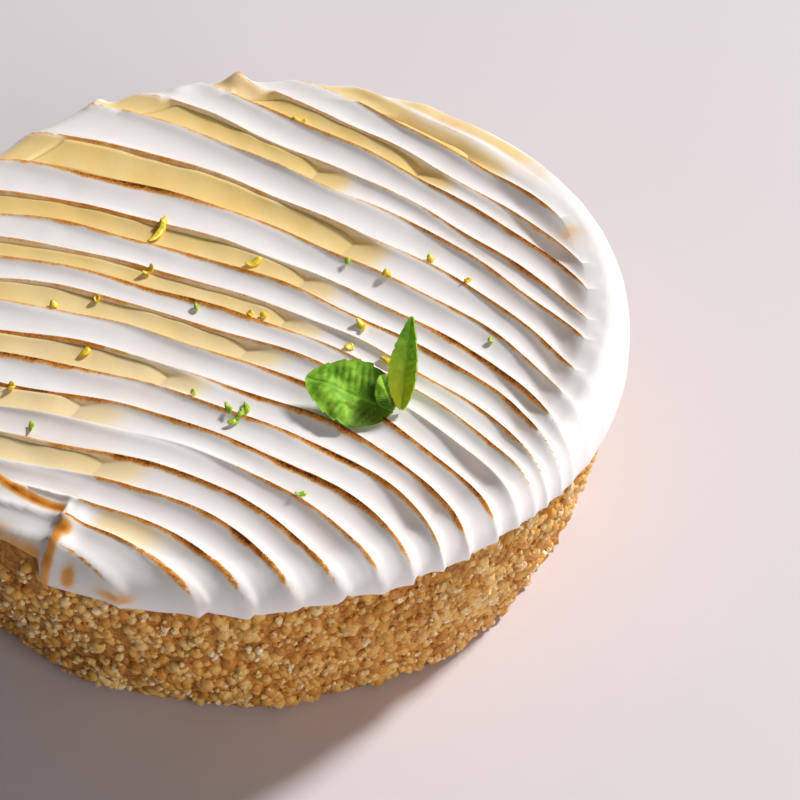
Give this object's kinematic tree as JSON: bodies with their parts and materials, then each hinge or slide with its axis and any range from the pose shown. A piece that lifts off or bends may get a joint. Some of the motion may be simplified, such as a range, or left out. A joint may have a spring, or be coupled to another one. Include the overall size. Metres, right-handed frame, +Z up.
{
  "type": "lemon meringue tart",
  "caption": "Small round lemon meringue tart: pressed crumb case, lemon curd, combed and toasted meringue top, and a tip of mint.",
  "frame": {"origin": "centre of the flat base of the crumb case", "axes": "+Z up through the tart; the mint tip lies towards +X and -Y, and the strokes of the meringue run from -X +Y to +X -Y"},
  "size_m": [0.1114, 0.1115, 0.0456],
  "materials": {
    "biscuit_crumb": "coarse pressed crumb with sugar crystals",
    "curd": "smooth set curd, soft gloss",
    "meringue": "satin, toasted brown along the crests",
    "mint": "soft leaf"
  },
  "bodies": {
    "root": {"crust": "biscuit_crumb", "lemon_curd": "curd", "meringue": "meringue", "mint_leaf_left": "mint", "mint_leaf_middle": "mint", "mint_leaf_right": "mint"}
  },
  "joints": []
}
